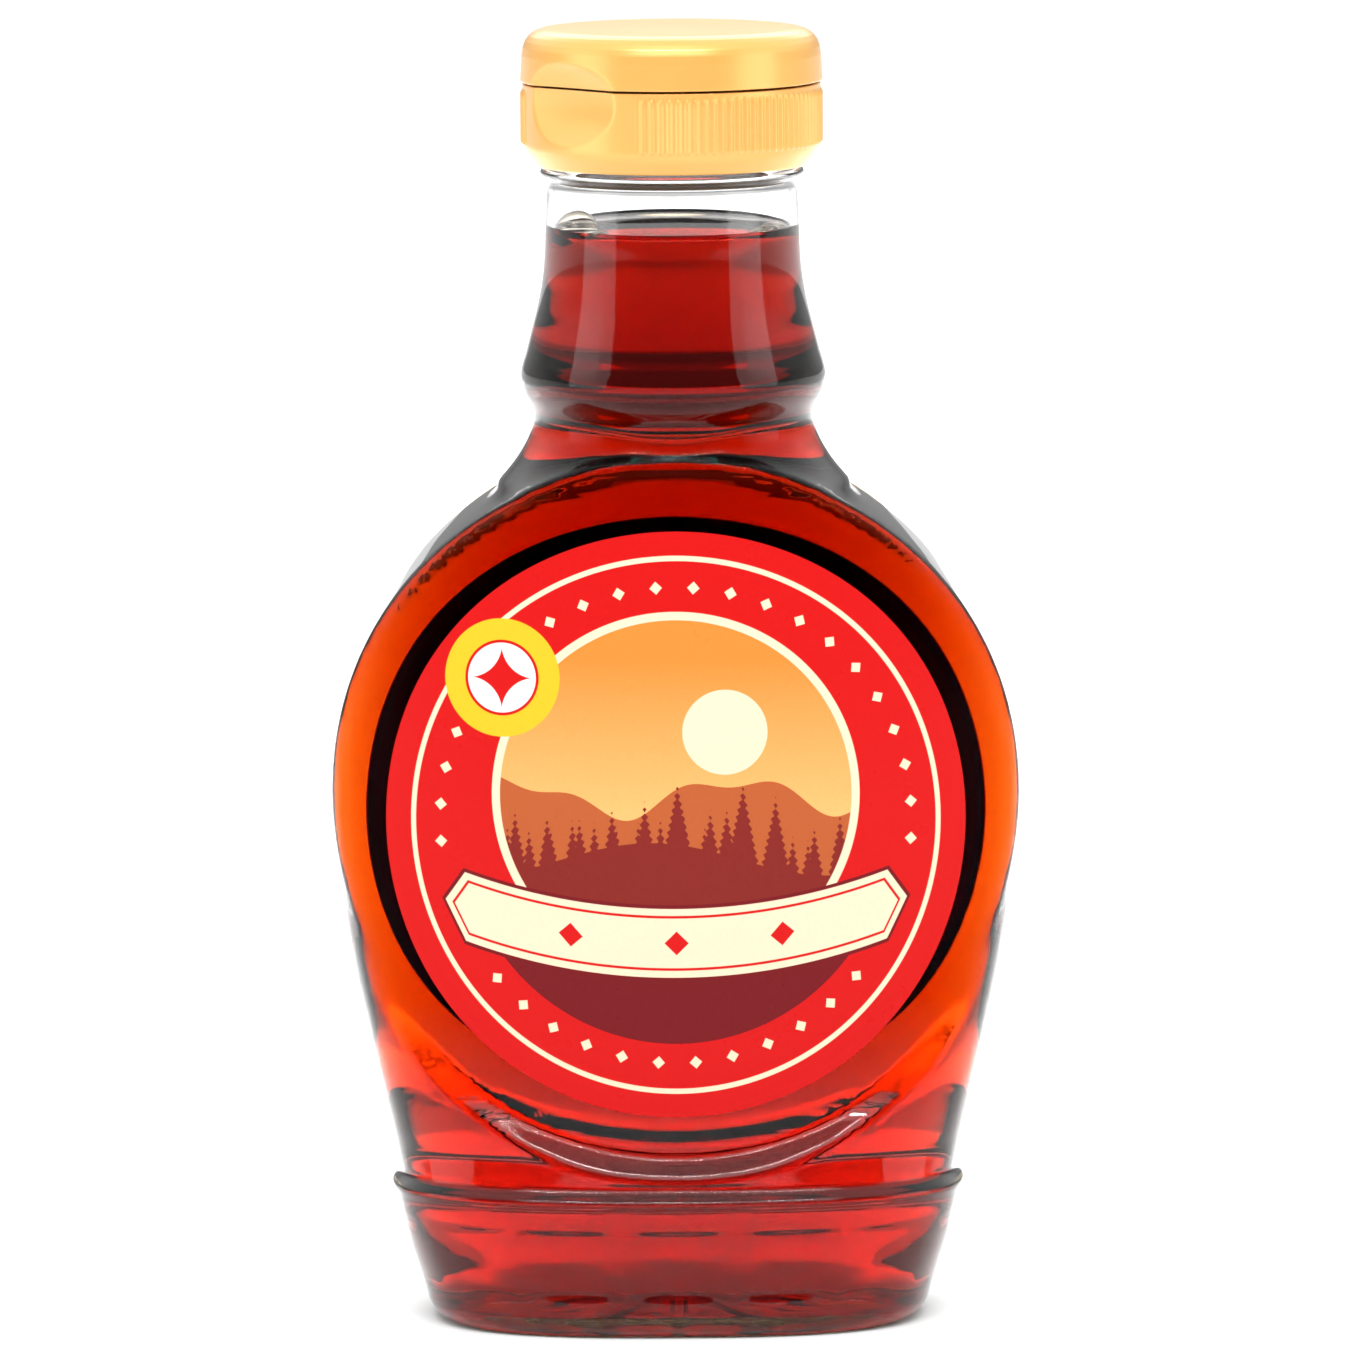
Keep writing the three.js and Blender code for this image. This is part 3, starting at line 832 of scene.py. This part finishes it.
skirt_r = skirt_r + RIB_HEIGHT * wave * ribbed
skirt_r = np.where(skirt_r > SKIRT_SHAPED, thumb_cut(skirt_r, skirt_turn, skirt_z), skirt_r)
cap_base = grid_piece("cap_skirt", around(skirt_r, skirt_turn, skirt_z), crease=CAP_CREASE)
gold_plastic("gold_skirt", cap_base)
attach(cap_base, "filled_bottle")
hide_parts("cap_base")


# Cap lid: the flip-up top of the cap, of the same pearly gold plastic, smooth and round-edged.
# The thumb hollow runs on into its lower edge. Inside it is hollow, with a ring that plugs the spout.
CAP_TOP = 172.0
LID_RADIUS = 19.9
LID_TOP_RADIUS = 19.5
LID_EDGE = 3.4
LID_CROWN = 0.2
LID_WALL = 2.7
LID_SHAPED = 17.3
LID_HOLLOW = 3.2
PLUG_RADIUS = 4.6
PLUG_WALL = 0.9
PLUG_BOTTOM = 166.0
LID_COLUMNS = 512

lid_bottom = SEAM_Z + SEAM_GAP / 2.0
lid_r, lid_z = outline(
    [
        (0.0, lid_bottom + LID_HOLLOW, 0.0),
        (PLUG_RADIUS - PLUG_WALL, lid_bottom + LID_HOLLOW, 0.2),
        (PLUG_RADIUS - PLUG_WALL, PLUG_BOTTOM, 0.2),
        (PLUG_RADIUS, PLUG_BOTTOM, 0.2),
        (PLUG_RADIUS, lid_bottom + LID_HOLLOW, 0.2),
        (LID_RADIUS - LID_WALL, lid_bottom + LID_HOLLOW, 0.6),
        (LID_RADIUS - LID_WALL, lid_bottom, 0.2),
        (LID_RADIUS, lid_bottom, 0.2),
        (LID_TOP_RADIUS, CAP_TOP - LID_CROWN, LID_EDGE),
        (0.0, CAP_TOP, 0.0),
    ],
    LID_SHAPED,
)
lid_turn = np.linspace(0.0, 2.0 * math.pi, LID_COLUMNS, endpoint=False)[None, :]
lid_r = lid_r[:, None]
lid_z = lid_z[:, None]
lid_r = np.where(lid_r > LID_SHAPED, thumb_cut(lid_r, lid_turn, lid_z), lid_r)
cap_lid = grid_piece("flip_lid", around(lid_r, lid_turn, lid_z), crease=CAP_CREASE)
gold_plastic("gold_lid", cap_lid)
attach(cap_lid, "lid")
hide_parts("cap_lid")


# Hinge film: the thin web of the same gold plastic that joins the lid to the skirt, back right.
# It is moulded with them in one shot and bends each time the lid is flipped up. Its section runs up
# the outside and down the inside, and both ends are closed.
FILM_HALF_WIDTH = math.radians(12.0)
FILM_BELOW = 1.2
FILM_ABOVE = 1.2
FILM_THICKNESS = 0.25
FILM_SINK = 0.1
FILM_COLUMNS = 24
FILM_ROWS = 24

hinge_turn = math.pi + THUMB_ANGLE
film_turn = hinge_turn + np.linspace(-1.0, 1.0, FILM_COLUMNS) * FILM_HALF_WIDTH
film_z = SEAM_Z + np.linspace(-FILM_BELOW, FILM_ABOVE, FILM_ROWS)
film_base = np.interp(film_z, [SEAM_Z - FILM_BELOW, SEAM_Z + FILM_ABOVE], [SKIRT_RADIUS, LID_RADIUS])
section_z = np.concatenate([film_z, film_z[::-1]])[:, None]
section_r = np.concatenate([film_base + FILM_THICKNESS, film_base[::-1] - FILM_SINK])[:, None]
strap = around(section_r, film_turn[None, :], section_z)
middles = np.repeat(strap.mean(axis=0, keepdims=True), len(strap), axis=0)
strap = np.concatenate([middles[:, :1], strap, middles[:, -1:]], axis=1)
hinge_film = grid_piece("hinge_film", np.swapaxes(strap, 0, 1)[::-1])
gold_plastic("gold_film", hinge_film)
tuple(around(LID_RADIUS, hinge_turn, SEAM_Z - FILM_BELOW) * MM)
tuple(around(LID_RADIUS, hinge_turn, SEAM_Z + FILM_ABOVE) * MM)
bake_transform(hinge_film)


# Floor: a wide plain sheet of pale studio paper under the bottle.
FLOOR_HALF = 6.0
PAPER = (0.88, 0.88, 0.88, 1.0)
PAPER_PALE = (0.90, 0.90, 0.895, 1.0)

floor_mesh = bpy.data.meshes.new("floor")
floor_corners = np.array([[-1, -1, 0], [1, -1, 0], [1, 1, 0], [-1, 1, 0]]) * FLOOR_HALF
floor_mesh.from_pydata(floor_corners.tolist(), [], [(0, 1, 2, 3)])
floor = bpy.data.objects.new("floor", floor_mesh)
bpy.context.scene.collection.objects.link(floor)
surface, where = new_material("floor_paper", floor, Roughness=0.6)
paint(PAPER, noise(where, 30.0), PAPER_PALE).feed(surface, "Base Color")


# Lights: soft boxes in a pale room. A key and a thin strip stand over the front, and a box at each side.
# Behind, boxes light the paper and the back, so that light comes through the syrup.
ROOM_DIM = 0.18
ROOM_BRIGHT = 1.42
HORIZON_SHARE = 0.2
HORIZON_FROM = 0.15
HORIZON_TO = 0.40
BACK_FROM = -0.46667
BACK_TO = -0.41111
CEILING_FROM = 0.65
CEILING_TO = 0.775


def soft_box(name, place, target, width, height, watts, spread=180.0):
    """A rectangular area light at a place, turned to a target."""
    light = bpy.data.lights.new(name, "AREA")
    light.shape = "RECTANGLE"
    light.size = width
    light.size_y = height
    light.energy = watts
    light.spread = math.radians(spread)
    made = bpy.data.objects.new(name, light)
    away = np.array(place) - np.array(target)
    made.location = place
    flat = math.hypot(away[0], away[1])
    made.rotation_euler = (math.atan2(flat, away[2]), 0.0, math.atan2(away[0], -away[1]))
    made.visible_camera = False
    bpy.context.scene.collection.objects.link(made)


soft_box("key_box", (0.0, -0.70, 0.90), (0.0, 0.0, 0.08), 1.0, 0.5, 4.6)
soft_box("left_box", (-0.75, -0.30, 0.24), (0.0, 0.0, 0.12), 0.5, 0.5, 1.5)
soft_box("right_box", (0.75, -0.30, 0.24), (0.0, 0.0, 0.12), 0.5, 0.5, 1.5)
soft_box("front_strip", (0.0, -0.42, 0.72), (0.0, 0.0, 0.06), 0.6, 0.02, 3.0)
soft_box("floor_box", (0.0, 0.92, 0.45), (0.0, 0.92, 0.0), 1.0, 1.64, 8.0, 40.0)
soft_box("foot_box", (0.0, 0.11, 0.09), (0.0, 0.11, 0.0), 0.20, 0.10, 0.3, 60.0)
soft_box("back_box", (0.0, 1.20, 0.80), (0.0, 0.0, 0.15), 1.0, 0.64, 3.4)

world = bpy.data.worlds.new("pale_room")
bpy.context.scene.world = world
world.use_nodes = True
room_light = world.node_tree.nodes["Background"]
direction = Shade(world.node_tree).node("ShaderNodeTexCoord", output=0)
upward = along_axis(direction, "Z")
back_wall = ramp(along_axis(direction, "Y"), BACK_FROM, BACK_TO)
ceiling = ramp(upward, CEILING_FROM, CEILING_TO)
over_horizon = vary(ramp(upward, HORIZON_FROM, HORIZON_TO), HORIZON_SHARE, 1.0)
vary(back_wall.larger(ceiling) * over_horizon, ROOM_DIM, ROOM_BRIGHT).feed(room_light, "Strength")
room_light.inputs["Color"].default_value = (1.0, 1.0, 1.0, 1.0)


# Camera: a long lens a little over a metre in front, looking slightly down.
CAMERA_PLACE = (0.0, -1.250, 0.2653)
CAMERA_PITCH = math.radians(8.17)
CAMERA_ROLL = math.radians(-0.35)
CAMERA_LENS = 253.7

camera_data = bpy.data.cameras.new("camera")
camera_data.lens = CAMERA_LENS
camera_data.sensor_width = 36.0
camera_data.clip_start = 0.05
camera_data.clip_end = 30.0
camera = bpy.data.objects.new("camera", camera_data)
camera.location = CAMERA_PLACE
camera.rotation_mode = "ZXY"
camera.rotation_euler = (math.pi / 2.0 - CAMERA_PITCH, 0.0, CAMERA_ROLL)
bpy.context.scene.collection.objects.link(camera)
bpy.context.scene.camera = camera
bpy.context.scene.view_settings.view_transform = "Standard"
